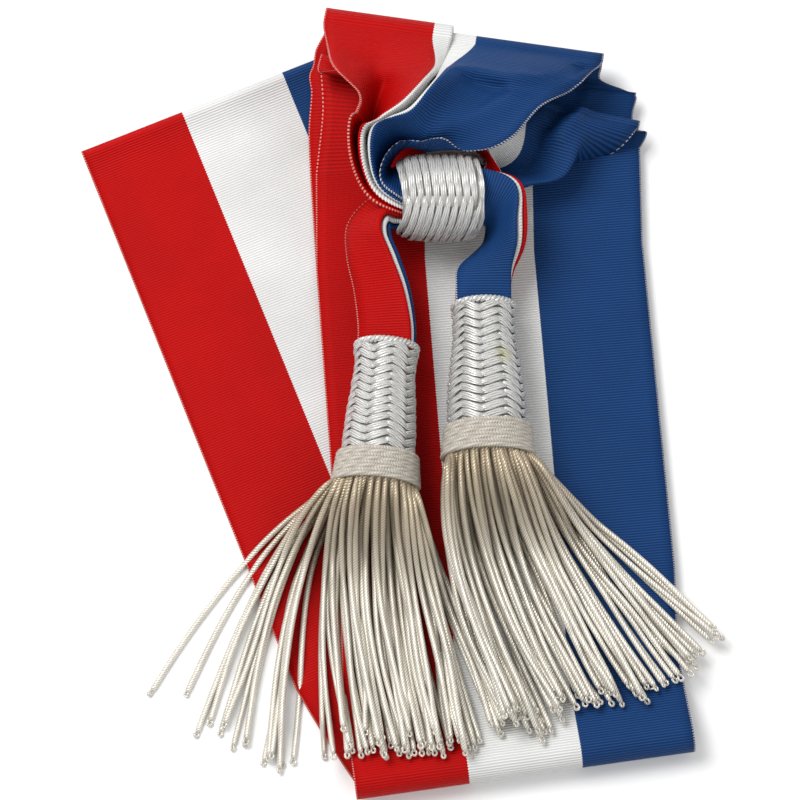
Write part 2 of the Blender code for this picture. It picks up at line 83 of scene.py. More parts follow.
FLOOR_LEVEL, LEFT_LEVEL, LOWER_LEVEL, UPPER_LEVEL = (RIBBON_WALL / 2 + layer * PITCH for layer in range(4))
LEG_TOP = UPPER_LEVEL + RIBBON_WALL / 2
BUNDLE_WIDTH = RIBBON_WIDTH / 6 + PITCH / 2
BUNDLE_DEPTH = 5 * PITCH + RIBBON_WALL
BUNDLE_OFFSET = (BUNDLE_DEPTH + LAYER_GAP) / 2
SLIDE_BORE = hypot(BUNDLE_WIDTH / 2, 2 * BUNDLE_OFFSET) + 4 * SEAT_GAP
SLIDE_RADIUS = SLIDE_BORE + SLIDE_WALL
AXIS_HEIGHT = LEG_TOP + SEAT_GAP + SLIDE_RADIUS
HEAD_BORE = hypot(BUNDLE_WIDTH, BUNDLE_DEPTH) / 2 + HEAD_LIP
RIM_RADIUS = HEAD_BORE + HEAD_WALL
SLIDE_PLACE = (0.120 * RIBBON_WIDTH, 0.583 * RIBBON_WIDTH)
SLIDE_TURNS = ((-1, 40), (0, 14), (1, -12))
BOTTOM_HEADING = 8.0
LOOP_HEADING = 22.5
TOP_HEADING = -8.3
INNER_HEADING = -12.4
RIGHT_LEG_HEADING = 4.9
LEFT_LEG_HEADING = 22.2
BACK_HEADING = -90
FRONT_HEADING = 80
MOUTH_FAN = 5
LOOP_SLOPE = 25
LEFT_STRAP_TURN = 72
RIGHT_STRAP_TURN = 88
LAYERS_BELOW_FOLD = 3.3
INNER_TOP_PLACE = (0.079, -0.160)
EASING = 30 * MM
PLEAT = (0, 0, 0, -180, 0, 0, 0)
FLAT = (0, 0, 0, 0, 0, 0, 0)

# Thinner and finer than the solid's
CLOTH_WALL = 0.7 * MM
SELVAGE = 1.15
BEND_STEPS = 6
PANEL_STEPS = 4
SUBSTEPS = 9
TOP_SUBSTEPS = 6
ROLL_STEPS = 18
EASING_STEPS = 8
LONGEST_STEP = 4 * MM
LEAST_TURN = 0.01
STRAIGHT = 0.001

Station = namedtuple("Station", "x y z heading tilt angles")

#   share of the leg's length, way to its side in ribbon widths
LEFT_LEG_ROWS = ((0.20, -0.035), (0.90, -0.004))
RIGHT_LEG_ROWS = ((0.24, 0.0), (0.70, 0.0))

#   x, y, height, heading, red 1, red 2, white 1, white 2, white 3, blue 1, blue 2
FRONT_GATHER = (
    (0.134, 1.000, 1.12, -9, -8, 12, -50, -140, 52, 6, -4),
    (0.096, 0.905, 1.50, -11, -34, 40, -80, -90, 84, -24, 16),
    (0.040, 0.808, 1.74, -14, -76, 66, -84, -90, 84, -34, 14),
    (-0.014, 0.764, 1.69, -14, -78, 84, -86, -92, 84, -50, 18),
    (-0.066, 0.744, 1.64, -7, -82, 90, -87, -87, 90, -59, 33),
    (-0.063, 0.640, 1.23, 54, -60, 116, -62, -62, 116, -64, 107),
)
BACK_GATHER = (
    (0.290, 0.640, 0.80, -62, 10, 188, 9, 9, 188, 8, 186),
    (0.252, 0.728, 0.78, -40, -28, 96, -60, -60, 90, -42, 136),
    (0.236, 0.806, 0.82, -26, -14, 22, -40, -40, 52, -18, 134),
    (0.232, 0.888, 0.80, -12, -8, 8, -16, -16, 24, -12, 28),
)
UPPER_TOP = (
    (0.260, 0.860, 0.13, -4, 0, 0, 0, 0, 0, 0, 0),
    (0.240, 0.740, -0.029, 4.9, 0, 0, 0, 0, 0, 0, 0),
)
PLEATED_TOP = (
    (0.222, 0.740, -0.107, 4.9, 0, 0, 0, 0, 0, 0, 0),
    (0.218, 0.860, 0.02, 3, 0, 0, 0, 0, 0, 0, 0),
    (0.226, 0.955, 0.13, -1, 0, 0, 0, 0, 0, 0, 0),
    (0.198, 1.000, 0.20, -5, 0, 2, -4, -70, 29, 0, 0),
    (0.152, 1.045, 0.20, -7, 0, 2, -2, -135, 22, 0, 0),
)
LEFT_STRAP = (
    (-0.038, 0.190, 0.78, -3, 70),
    (-0.052, 0.300, 0.84, -2, 60),
    (-0.078, 0.400, 0.90, -6, 50),
    (-0.090, 0.480, 0.95, -25, 40),
    (-0.058, 0.535, 0.97, -62, 33),
)
RIGHT_STRAP = (
    (0.308, 0.556, 1.16, 52, 122),
    (0.316, 0.490, 1.07, 28, 142),
    (0.296, 0.425, 0.98, 8, 128),
    (0.258, 0.365, 0.86, 0, 102),
    (0.2495, 0.310, 0.80, 0, 90),
)

Tassel = namedtuple("Tassel", "side rim_x rim_y end_x end_y waist belly end")
LEFT_TASSEL = Tassel("left", -0.0387, 0.1382, -0.0675, -0.2380, 11.0 * MM, 13.0 * MM, 13.0 * MM)
RIGHT_TASSEL = Tassel("right", 0.2498, 0.2615, 0.2590, -0.1560, 11.6 * MM, 14.3 * MM, 13.9 * MM)


def widths(x, y):
    """A place in metres, from one in ribbon widths."""
    return x * RIBBON_WIDTH, y * RIBBON_WIDTH


def height(share):
    """Between the top of the legs (0) and the slide's axis (1)."""
    return LEG_TOP + share * (AXIS_HEIGHT - LEG_TOP)


def bundle(turn):
    """The panels of a section gathered like an accordion, turned as a whole."""
    return tuple(turn + 90 * way for way in PANEL_WAYS)


def from_table(rows, tilt):
    """Sections from a table's rows, which give either all panels' angles or one turn of a bundle."""
    made = []
    for x, y, share, heading, *angles in rows:
        panels = bundle(angles[0]) if len(angles) == 1 else tuple(angles)
        made.append(Station(*widths(x, y), height(share), heading, tilt, panels))
    return made


def numbers(station):
    """A section as one row of numbers, so that others can be worked out between two of them."""
    return np.array((*station[:5], *station.angles))


def station_of(row):
    return Station(*row[:5], tuple(row[5:]))


def blended(stations, substeps):
    """The stations with smooth ones added between them, on Catmull-Rom curves."""
    values = [numbers(station) for station in stations]
    made = []
    for i in range(len(values) - 1):
        before, start = values[max(i - 1, 0)], values[i]
        end, after = values[i + 1], values[min(i + 2, len(values) - 1)]
        for step in range(substeps):
            t = step / substeps
            point = (1 + 2 * t) * (1 - t) ** 2 * start + t * (1 - t) ** 2 * (end - before) / 2
            point = point + t * t * (3 - 2 * t) * end + t * t * (t - 1) * (after - start) / 2
            made.append(station_of(point))
    made.append(stations[-1])
    return made


def across(angles):
    """Points across the ribbon and how far along its width each lies, offsets from their middle."""
    turns = [radians(b - a) for a, b in zip(angles, angles[1:])]
    tucked = min(max(abs(turns[PLEAT_PANEL]) / pi, 1 - abs(turns[PLEAT_PANEL - 1]) / pi), 1)
    ends = list(PANEL_ENDS)
    ends[PLEAT_PANEL] += PLEAT_REACH * tucked
    lengths = [end - start for start, end in zip((0, *ends), ends)]
    slant = 1 + BLUE_SLANT * min(abs(turns[PLEAT_PANEL]) * 2 / pi, 1)
    lengths[BLUE_PANELS:] = [length * slant for length in lengths[BLUE_PANELS:]]
    bends = [min(PITCH / 2 * pi * pi / max(abs(t), LEAST_TURN), WIDEST_BEND) for t in turns]
    bends[PLEAT_PANEL] = min(bends[PLEAT_PANEL], PITCH / 2 + WIDEST_BEND * tucked)
    x, y, direction, along = 0.0, 0.0, radians(angles[0]), 0.0
    points, places = [(x, y)], [0.0]
    for i, length in enumerate(lengths):
        run = length * RIBBON_WIDTH
        run -= (bends[i - 1] / 2 if i else 0) + (bends[i] / 2 if i < len(turns) else 0)
        for _ in range(PANEL_STEPS):
            x, y = x + run / PANEL_STEPS * cos(direction), y + run / PANEL_STEPS * sin(direction)
            along += run / PANEL_STEPS / (slant if i >= BLUE_PANELS else 1)
            points.append((x, y))
            places.append(along)
        if i == len(turns):
            break
        for _ in range(BEND_STEPS):
            part = turns[i] / BEND_STEPS
            chord = bends[i] / BEND_STEPS
            along += chord
            if abs(part) > STRAIGHT:
                chord *= sin(part / 2) / (part / 2)
            direction += part / 2
            x, y = x + chord * cos(direction), y + chord * sin(direction)
            direction += part / 2
            points.append((x, y))
            places.append(along)
    points = np.array(points)
    runs = np.diff(places)[:, None]
    middle = ((points[1:] + points[:-1]) / 2 * runs).sum(0) / runs.sum()
    return points - middle, np.array(places) * RIBBON_WIDTH / places[-1]


def roll(axis, heading, side, low, high, radius, tilts, slope=0, easing=0, angles=FLAT):
    """Stations from the lower leg round a roll and, with a slope, down onto the upper leg."""
    turn = radians(heading)
    way = (-side * sin(turn), side * cos(turn))
    profile = []
    for step in range(ROLL_STEPS + 1):
        swing = (180 + slope) * step / ROLL_STEPS
        phi = radians(swing - 90)
        profile.append((radius * cos(phi), low + radius + radius * sin(phi), swing))
    if slope:
        steep = radians(slope)
        depth, level, _ = profile[-1]
        run = (level - high - easing * (1 - cos(steep))) / sin(steep)
        depth, level = depth - run * cos(steep), level - run * sin(steep)
        for step in range(EASING_STEPS + 1):
            left = steep * (1 - step / EASING_STEPS)
            back = easing * (sin(steep) - sin(left))
            profile.append((depth - back, level - easing * (cos(left) - cos(steep)), 180 + degrees(left)))
    lower_tilt, upper_tilt = tilts
    return [
        Station(
            axis[0] + way[0] * depth,
            axis[1] + way[1] * depth,
            level,
            heading,
            lower_tilt + (upper_tilt - lower_tilt) * swing / 180,
            angles,
        )
        for depth, level, swing in profile
    ]


def leg_point(base, lean, distance, sideways=0.0):
    """A place up a leg that leans from +Y, and to its side."""
    x = base[0] - sin(lean) * distance + cos(lean) * sideways
    y = base[1] + cos(lean) * distance + sin(lean) * sideways
    return x, y


def mouth(end, turn, side):
    """Where a run of the ribbon lies in the slide: at one end, the middle or the other end."""
    x = SLIDE_PLACE[0] + end * SLIDE_LENGTH / 2
    y = SLIDE_PLACE[1] + side * BUNDLE_OFFSET * sin(radians(turn))
    z = AXIS_HEIGHT + side * BUNDLE_OFFSET * cos(radians(turn))
    return x, y, z


def collar_radius(tassel):
    return tassel.end + LAYER_GAP + COLLAR_WALL + COLLAR_SWELL


def tassel_frame(tassel):
    """Centre of the head's rim, the unit vectors along the head, to its side and upward, its length."""
    rim = Vector((*widths(tassel.rim_x, tassel.rim_y), LEG_TOP + SEAT_GAP + RIM_RADIUS))
    low = LEG_TOP + SEAT_GAP + collar_radius(tassel)
    along = Vector((*widths(tassel.end_x, tassel.end_y), low)) - rim
    side = along.cross(Vector((0, 0, 1))).normalized()
    return rim, along.normalized(), side, side.cross(along).normalized(), along.length


def strap_end(tassel, tilt, turn):
    """The ribbon's last section, square to the head's axis and a little inside its rim."""
    rim, along, side, _, _ = tassel_frame(tassel)
    place = rim + STRAP_IN_HEAD * along
    return Station(*place, degrees(atan2(-side.y, -side.x)), tilt, bundle(turn))


def leg(shares, level, tilt, heading, lean, length):
    """Flat sections up one of the long legs."""
    made = []
    for share, sideways in shares:
        x, y = leg_point(widths(*BOTTOM_AXIS), lean, share * length, sideways * RIBBON_WIDTH)
        made.append(Station(x, y, level, heading, tilt, FLAT))
    return made


def bundle_in_slide(heading, tilt, side):
    """The gathered ribbon through the slide, its front or its back run."""
    return [
        Station(*mouth(end, turn, side), heading - side * MOUTH_FAN * end, tilt, bundle(90 - turn))
        for end, turn in SLIDE_TURNS
    ]


def ribbon_stations():
    """The ribbon's sections from the left tassel through both gathers and loops to the right tassel."""
    bottom = widths(*BOTTOM_AXIS)
    loop = leg_point(bottom, LEFT_CHORD, LEFT_LEG)
    top = leg_point(bottom, RIGHT_CHORD, RIGHT_LEG, TOP_SHIFT)
    inner_top = tuple(place + way for place, way in zip(top, widths(*INNER_TOP_PLACE)))
    under_fold = LAYERS_BELOW_FOLD * PITCH
    inner_fold = roll(
        inner_top, INNER_HEADING, 1, UPPER_LEVEL + under_fold, 0, INNER_TOP_ROLL, (0, -180)
    )[::-1]
    outer_roll = roll(
        bottom, BOTTOM_HEADING, -1, FLOOR_LEVEL, UPPER_LEVEL, BOTTOM_ROLL + PITCH,
        (-180, 0), RISE_SLOPE, EASING - PITCH,
    )[::-1]
    loop_roll = roll(
        loop, LOOP_HEADING, 1, FLOOR_LEVEL, LEFT_LEVEL, LOOP_ROLL, (-180, -360), LOOP_SLOPE, EASING
    )
    inner_roll = roll(
        bottom, BOTTOM_HEADING, -1, LEFT_LEVEL, LOWER_LEVEL, BOTTOM_ROLL, (-360, -180), RISE_SLOPE, EASING
    )
    outer_fold = roll(
        top, TOP_HEADING, 1, LOWER_LEVEL + under_fold, 0, TOP_ROLL, (-180, -360), angles=PLEAT
    )
    left = [strap_end(LEFT_TASSEL, -180, LEFT_STRAP_TURN)] + from_table(LEFT_STRAP, -180)
    left += bundle_in_slide(BACK_HEADING, -180, -1)
    left += from_table(BACK_GATHER, -180) + inner_fold[:1]
    right = outer_fold[-1:] + from_table(FRONT_GATHER, -360)
    right += bundle_in_slide(FRONT_HEADING, -360, 1)
    right += from_table(RIGHT_STRAP, -360) + [strap_end(RIGHT_TASSEL, -360, RIGHT_STRAP_TURN)]
    return (
        blended(left, SUBSTEPS)
        + inner_fold[1:-1]
        + blended(inner_fold[-1:] + from_table(UPPER_TOP, 0), TOP_SUBSTEPS)
        + leg(RIGHT_LEG_ROWS[::-1], UPPER_LEVEL, 0, RIGHT_LEG_HEADING, RIGHT_CHORD, RIGHT_LEG)
        + outer_roll
        + leg(LEFT_LEG_ROWS, FLOOR_LEVEL, -180, LEFT_LEG_HEADING, LEFT_CHORD, LEFT_LEG)
        + loop_roll
        + leg(LEFT_LEG_ROWS[::-1], LEFT_LEVEL, -360, LEFT_LEG_HEADING, LEFT_CHORD, LEFT_LEG)
        + inner_roll
        + leg(RIGHT_LEG_ROWS, LOWER_LEVEL, -180, RIGHT_LEG_HEADING, RIGHT_CHORD, RIGHT_LEG)
        + blended(from_table(PLEATED_TOP, -180) + outer_fold[:1], TOP_SUBSTEPS)
        + outer_fold[1:-1]
        + blended(right, SUBSTEPS)
    )


def subdivided(stations):
    """No two stations further apart than the longest step."""
    made = [stations[0]]
    for a, b in zip(stations, stations[1:]):
        gap = hypot(a.x - b.x, a.y - b.y, a.z - b.z)
        steps = max(1, ceil(gap / LONGEST_STEP))
        first, last = numbers(a), numbers(b)
        made += [station_of(first + (last - first) * step / steps) for step in range(1, steps + 1)]
    return made


def placed(station, line):
    """A section's points in space, from their places in the section's own plane."""
    heading, tilt = radians(station.heading), radians(station.tilt)
    along = np.array((cos(heading), sin(heading), 0))
    outward = np.array((-sin(heading), cos(heading), 0))
    normal = cos(tilt) * np.array((0, 0, 1)) + sin(tilt) * outward
    middle = np.array((station.x, station.y, station.z))
    return middle + line[:, :1] * along + line[:, 1:] * normal


def sides_of(line, wall):
    """Both sides of a wall whose middle is the line, within the section's own plane."""
    before = np.vstack([2 * line[0] - line[1], line[:-1]])
    after = np.vstack([line[1:], 2 * line[-1] - line[-2]])
    first = np.arctan2(*(line - before).T[::-1])
    turn = (np.arctan2(*(after - line).T[::-1]) - first + pi) % (2 * pi) - pi
    normal = first + turn / 2 + pi / 2
    reach = (wall / 2 / np.cos(turn / 2))[:, None]
    offset = reach * np.stack([np.cos(normal), np.sin(normal)], 1)
    return line + offset, line - offset


def mesh_object(name, points, faces, uvs):
    """A smooth mesh, whose UV map gives places across and along the cloth or thread."""
    mesh = bpy.data.meshes.new(name)
    mesh.from_pydata([tuple(p) for p in points], [], [tuple(f) for f in faces])
    layer = mesh.uv_layers.new(name="cloth")
    index = np.empty(len(mesh.loops), np.int32)
    mesh.loops.foreach_get("vertex_index", index)
    layer.data.foreach_set("uv", np.asarray(uvs, np.float32)[index].ravel())
    mesh.polygons.foreach_set("use_smooth", np.ones(len(mesh.polygons), bool))
    mesh.update()
    made = bpy.data.objects.new(name, mesh)
    bpy.context.scene.collection.objects.link(made)
    return made


def grid_faces(rows, cols, closed_rows=False, closed_cols=True, first=0):
    """Quads of a grid of rows by cols points, closed into a ring either way when asked."""
    made = []
    for r in range(rows if closed_rows else rows - 1):
        here = first + r * cols
        ahead = first + (r + 1) % rows * cols
        for c in range(cols if closed_cols else cols - 1):
            d = (c + 1) % cols
            made.append((here + c, here + d, ahead + d, ahead + c))
    return made


# Small folds of the gathers, which fade out towards the legs
#   height, reach to each side, then points along the fold, x, y in ribbon widths
RUMPLES = (
    (5.4 * MM, 3.4 * MM, (0.155, 0.940), (0.092, 0.868), (0.030, 0.812), (-0.030, 0.762)),
    (4.5 * MM, 4.6 * MM, (0.330, 0.870), (0.250, 0.820), (0.180, 0.775), (0.100, 0.745)),
    (3.2 * MM, 3.0 * MM, (0.200, 0.965), (0.300, 0.935), (0.400, 0.935)),
    (-2.4 * MM, 2.2 * MM, (0.215, 0.928), (0.305, 0.902)),
    (2.9 * MM, 3.4 * MM, (-0.120, 0.960), (-0.110, 0.870), (-0.135, 0.780)),
    (-3.5 * MM, 2.6 * MM, (-0.047, 0.930), (-0.082, 0.839), (-0.105, 0.746)),
    (4.2 * MM, 3.4 * MM, (0.600, 0.960), (0.540, 0.860), (0.480, 0.790)),
    (-4.2 * MM, 2.6 * MM, (0.560, 0.990), (0.500, 0.880), (0.420, 0.780), (0.390, 0.690)),
)
RUMPLE_FADE = 12 * MM
# Where the blue edge of the front gather is drawn down over the slide, and only what lies this high
HANG_PLACE = (0.073, 0.765)
HANG_REACH = 7.5 * MM
HANG_WAY = 5 * MM
HANG_ABOVE = 27 * MM
HANG_FADE = 6 * MM


def distance_to_line(points, line):
    """From each point to the nearest stretch of the line, seen from above."""
    nearest = np.full(len(points), np.inf)
    for a, b in zip(line, line[1:]):
        share = np.clip((points[:, :2] - a) @ (b - a) / ((b - a) @ (b - a)), 0, 1)
        foot = a + share[:, None] * (b - a)
        nearest = np.minimum(nearest, np.linalg.norm(points[:, :2] - foot, axis=1))
    return nearest


def rumpled(points):
    """Raises and sinks the gathered cloth along its small folds."""
    lift = np.zeros(len(points))
    for tall, reach, *line in RUMPLES:
        gap = distance_to_line(points, np.array(line) * RIBBON_WIDTH)
        lift += tall * np.exp(-((gap / reach) ** 2))
    points[:, 2] += lift * np.clip((points[:, 2] - LEG_TOP) / RUMPLE_FADE, 0, 1)
    return points


def hung(points):
    """Draws the blue edge of the front gather down over the slide."""
    gap = np.linalg.norm(points[:, :2] - np.array(HANG_PLACE) * RIBBON_WIDTH, axis=1)
    free = np.clip((points[:, 2] - HANG_ABOVE) / HANG_FADE, 0, 1)
    points[:, 1] -= HANG_WAY * np.exp(-((gap / HANG_REACH) ** 2)) * free
    return points


def make_ribbon():
    """The cloth, closed at both ends, and its length along the layout."""
    rows, uvs = [], []
    length = 0.0
    before = None
    for station in subdivided(ribbon_stations()):
        line, places = across(station.angles)
        thick = np.full(len(line), CLOTH_WALL)
        thick[[0, -1]] = SELVAGE * CLOTH_WALL
        front, back = sides_of(line, thick)
        middle = placed(station, line)
        if before is not None:
            length += float(np.linalg.norm(middle - before, axis=1).mean())
        before = middle
        rows.append(np.vstack([placed(station, back), placed(station, front[::-1])]))
        round_section = np.concatenate([places, places[::-1]])
        uvs.append(np.stack([round_section, np.full(len(round_section), length)], 1))
    cols = len(rows[0])
    faces = grid_faces(len(rows), cols)
    for first in (0, (len(rows) - 1) * cols):
        last = first + cols - 1
        faces += [(first + i, first + i + 1, last - 1 - i, last - i) for i in range(cols // 2 - 1)]
    made = mesh_object("ribbon_cloth", hung(rumpled(np.vstack(rows))), faces, np.vstack(uvs))
    return made, length


ribbon, ribbon_length = make_ribbon()


def shader_of(name):
    """A new material, its node tree and its shader."""
    made = bpy.data.materials.new(name)
    made.use_nodes = True
    tree = made.node_tree
    return made, tree, tree.nodes["Principled BSDF"]


def feed(tree, socket, value):
    """Links an output to a socket, or sets the socket to a plain value."""
    if hasattr(value, "is_output"):
        tree.links.new(value, socket)
    else:
        socket.default_value = value


def node(tree, kind, **values):
    """A new node, with its sockets and settings given by name."""
    made = tree.nodes.new(kind)
    for key, value in values.items():
        if key in made.inputs:
            feed(tree, made.inputs[key], value)
        else:
            setattr(made, key, value)
    return made


def math_node(tree, operation, a, b=None, clamp=False):
    made = node(tree, "ShaderNodeMath", operation=operation, use_clamp=clamp)
    feed(tree, made.inputs[0], a)
    if b is not None:
        feed(tree, made.inputs[1], b)
    return made.outputs[0]


def scaled(tree, value, factor, offset):
    """The value times the factor, plus the offset."""
    return math_node(tree, "ADD", math_node(tree, "MULTIPLY", value, factor), offset)


def about_zero(tree, value, width):
    """A value between 0 and 1, made one of this width about zero."""
    return math_node(tree, "MULTIPLY", math_node(tree, "SUBTRACT", value, 0.5), width)


def wave(tree, angle):
    """A sine between 0 and 1."""
    return scaled(tree, math_node(tree, "SINE", angle), 0.5, 0.5)


def mixed(tree, factor, a, b, blend="MIX"):
    made = node(tree, "ShaderNodeMix", data_type="RGBA", blend_type=blend)
    for socket, value in ((made.inputs[0], factor), (made.inputs[6], a), (made.inputs[7], b)):
        feed(tree, socket, value)
    return made.outputs[2]


def noise_node(tree, coords, **values):
    return node(tree, "ShaderNodeTexNoise", Vector=coords, **values).outputs[0]


def ranged(tree, value, bounds, kind="LINEAR"):
    """The value brought from one range to another: bounds are the old low and high, then the new ones."""
    made = node(tree, "ShaderNodeMapRange", interpolation_type=kind)
    for socket, given in zip(made.inputs[:5], (value, *bounds)):
        feed(tree, socket, given)
    return made.outputs[0]


def cloth_places(tree):
    """Places on the cloth or thread: both together, across it and along it."""
    coords = node(tree, "ShaderNodeUVMap", uv_map="cloth").outputs[0]
    split = node(tree, "ShaderNodeSeparateXYZ", Vector=coords)
    return coords, split.outputs[0], split.outputs[1]


def bumped(tree, shader, height_of, strength, depth):
    bump = node(tree, "ShaderNodeBump", Strength=strength, Distance=depth, Height=height_of)
    tree.links.new(bump.outputs[0], shader.inputs["Normal"])


RED = (0.43, 0.001, 0.001, 1)
WHITE = (0.70, 0.70, 0.69, 1)
BLUE = (0.0085, 0.047, 0.165, 1)
STITCH_ON_RED = (0.66, 0.26, 0.22, 1)
STITCH_ON_BLUE = (0.50, 0.47, 0.48, 1)
RIB_PITCH = 0.95 * MM
RIB_DRIFT = 0.4 * MM
RIB_DEPTH = 0.22 * MM
RIB_CREST = 0.72
RIB_SHADE = 0.30
MORE_SHADE_ON_BLUE = 0.42
PATCHES = (0.3, 0.7, 0.90, 1.06)
THREAD_PITCH = 0.45 * MM
THREAD_SHARE = 0.18
STRIPE_JITTER = 0.25 * MM
STITCH_PITCH = 0.9 * MM
STITCH_WIDTH = 0.5 * MM
STITCH_SHARE = -0.1
WOBBLE = dict(Scale=90.0, Detail=2.0)
PATCH = dict(Scale=22.0, Detail=3.0, Roughness=0.6)
CLOTH_ROUGHNESS = 0.55
CLOTH_GLOSS = 0.10
RIB_STRENGTH = 0.75


def ribbon_material():
    """Grosgrain: ribs across the width, three stripes, paler stitched edges, and painted shade in the ribs'
    grooves.
    """
    made, tree, shader = shader_of("grosgrain")
    coords, u, v = cloth_places(tree)
    wobble = noise_node(tree, coords, **WOBBLE)
    drifted = math_node(tree, "ADD", v, about_zero(tree, wobble, RIB_DRIFT))
    rib = wave(tree, math_node(tree, "MULTIPLY", drifted, 2 * pi / RIB_PITCH))
    thread = wave(tree, math_node(tree, "MULTIPLY", u, 2 * pi / THREAD_PITCH))
    edge = math_node(tree, "ADD", u, about_zero(tree, rib, STRIPE_JITTER))
    is_white = math_node(tree, "GREATER_THAN", edge, RIBBON_WIDTH / 3)
    is_blue = math_node(tree, "GREATER_THAN", edge, RIBBON_WIDTH * 2 / 3)
    colour = mixed(tree, is_blue, mixed(tree, is_white, RED, WHITE), BLUE)
    tone = ranged(tree, noise_node(tree, coords, **PATCH), PATCHES)
    # Painted shade: the colour darkened in the ribs' grooves, more on the blue
    shade = scaled(tree, is_blue, MORE_SHADE_ON_BLUE, RIB_SHADE)
    groove = math_node(tree, "MULTIPLY", math_node(tree, "SUBTRACT", rib, RIB_CREST), shade)
    groove = math_node(tree, "MULTIPLY", math_node(tree, "ADD", groove, 1.0), tone)
    grey = node(tree, "ShaderNodeCombineColor", Red=groove, Green=groove, Blue=groove)
    colour = mixed(tree, 1.0, colour, grey.outputs[0], "MULTIPLY")
    rim = math_node(tree, "ABSOLUTE", math_node(tree, "SUBTRACT", u, RIBBON_WIDTH / 2))
    rim = math_node(tree, "GREATER_THAN", rim, RIBBON_WIDTH / 2 - STITCH_WIDTH)
    stitch = math_node(tree, "SINE", math_node(tree, "MULTIPLY", v, 2 * pi / STITCH_PITCH))
    stitch = math_node(tree, "GREATER_THAN", stitch, STITCH_SHARE)
    stitched = math_node(tree, "MULTIPLY", rim, stitch)
    colour = mixed(tree, stitched, colour, mixed(tree, is_blue, STITCH_ON_RED, STITCH_ON_BLUE))
    tree.links.new(colour, shader.inputs["Base Color"])
    shader.inputs["Roughness"].default_value = CLOTH_ROUGHNESS
    shader.inputs["Specular IOR Level"].default_value = CLOTH_GLOSS
    relief = math_node(tree, "ADD", rib, math_node(tree, "MULTIPLY", thread, THREAD_SHARE))
    bumped(tree, shader, math_node(tree, "ADD", relief, stitched), RIB_STRENGTH, RIB_DEPTH)
    return made


# A round stain, and painted shade that darkens the thread from its start over a length
Stain = namedtuple("Stain", "middle radius tint")
RootShade = namedtuple("RootShade", "reach tint")
STAIN_CORE = 0.3
FILAMENT_DEPTH = 0.18 * MM
FILAMENT_STRENGTH = 0.8
SPOTS = dict(Scale=1500.0, Detail=2.0, Roughness=0.7)
BROAD = dict(Scale=110.0, Detail=2.0)
FILAMENT_LIGHT = 0.62
SPOT_LIGHT = 0.35
BROAD_LIGHT = 0.35
SPOT_RELIEF = 0.8


def thread_material(name, pale, dark, rough, metal, filaments=0, turn=MM, stain=None, root_shade=None):
    """Metallic thread: so many filaments wind round each strand in one turn, darker where they meet as
    painted shade and paler on their crests as painted highlights.
    """
    made, tree, shader = shader_of(name)
    _, u, v = cloth_places(tree)
    winding = math_node(tree, "MULTIPLY", u, 2 * pi * filaments)
    winding = math_node(tree, "ADD", winding, math_node(tree, "MULTIPLY", v, 2 * pi / turn))
    fine = wave(tree, winding)
    place = node(tree, "ShaderNodeTexCoord").outputs["Object"]
    spots = noise_node(tree, place, **SPOTS)
    broad = noise_node(tree, place, **BROAD)
    # Painted shade in the filaments' grooves and painted glints from the fine spots; the broad noise is the
    # thread's own uneven tone
    light = math_node(tree, "MULTIPLY", fine, FILAMENT_LIGHT)
    light = math_node(tree, "ADD", light, math_node(tree, "MULTIPLY", spots, SPOT_LIGHT))
    light = math_node(tree, "ADD", light, math_node(tree, "MULTIPLY", broad, BROAD_LIGHT), clamp=True)
    colour = mixed(tree, light, dark, pale)
    if stain:
        gap = node(tree, "ShaderNodeVectorMath", operation="DISTANCE")
        feed(tree, gap.inputs[0], place)
        feed(tree, gap.inputs[1], stain.middle)
        near = ranged(tree, gap.outputs["Value"], (stain.radius, stain.radius * STAIN_CORE, 0.0, 1.0))
        colour = mixed(tree, math_node(tree, "MULTIPLY", near, broad), colour, stain.tint)
    # Painted shade: the thread darker and warmer from its start, fading out over the reach
    if root_shade:
        near = ranged(tree, v, (0.0, root_shade.reach, 1.0, 0.0), "SMOOTHSTEP")
        colour = mixed(tree, near, colour, root_shade.tint, "MULTIPLY")
    tree.links.new(colour, shader.inputs["Base Color"])
    shader.inputs["Metallic"].default_value = metal
    shader.inputs["Roughness"].default_value = rough
    relief = math_node(tree, "ADD", fine, math_node(tree, "MULTIPLY", spots, SPOT_RELIEF))
    bumped(tree, shader, relief, FILAMENT_STRENGTH, FILAMENT_DEPTH)
    return made


SILVER = dict(
    pale=(0.71, 0.71, 0.69, 1), dark=(0.40, 0.39, 0.38, 1), rough=0.38, metal=0.35, filaments=5, turn=6 * MM
)
STAIN = Stain((37 * MM, 10.7 * MM, 32 * MM), 4.5 * MM, (0.50, 0.50, 0.14, 1))
silver = thread_material("silver_thread", **SILVER)
stained = thread_material("stained_thread", **SILVER, stain=STAIN)
# Painted shade: a dark thread for the linings, seen in the gaps between the stitches where shade falls
shade_under_stitches = thread_material("painted_shade_under_stitches", (0.30, 0.29, 0.28, 1), (0.20, 0.19, 0.18, 1), 0.6, 0.2)
# The cords' pale and dark are painted highlights and painted shade along their twist
ropes = thread_material(
    "cord_thread",
    pale=(0.96, 0.93, 0.85, 1),
    dark=(0.36, 0.31, 0.23, 1),
    rough=0.34,
    metal=0.5,
    filaments=5,
    turn=1.07 * MM,
    # Painted shade on the cords where they leave the collar, fading out over 65 mm
    root_shade=RootShade(65 * MM, (0.62, 0.54, 0.43, 1)),
)
crochet = thread_material(
    "collar_thread",
    pale=(0.54, 0.50, 0.44, 1),
    dark=(0.38, 0.34, 0.29, 1),
    rough=0.5,
    metal=0.15,
    filaments=3,
    turn=2 * MM,
)


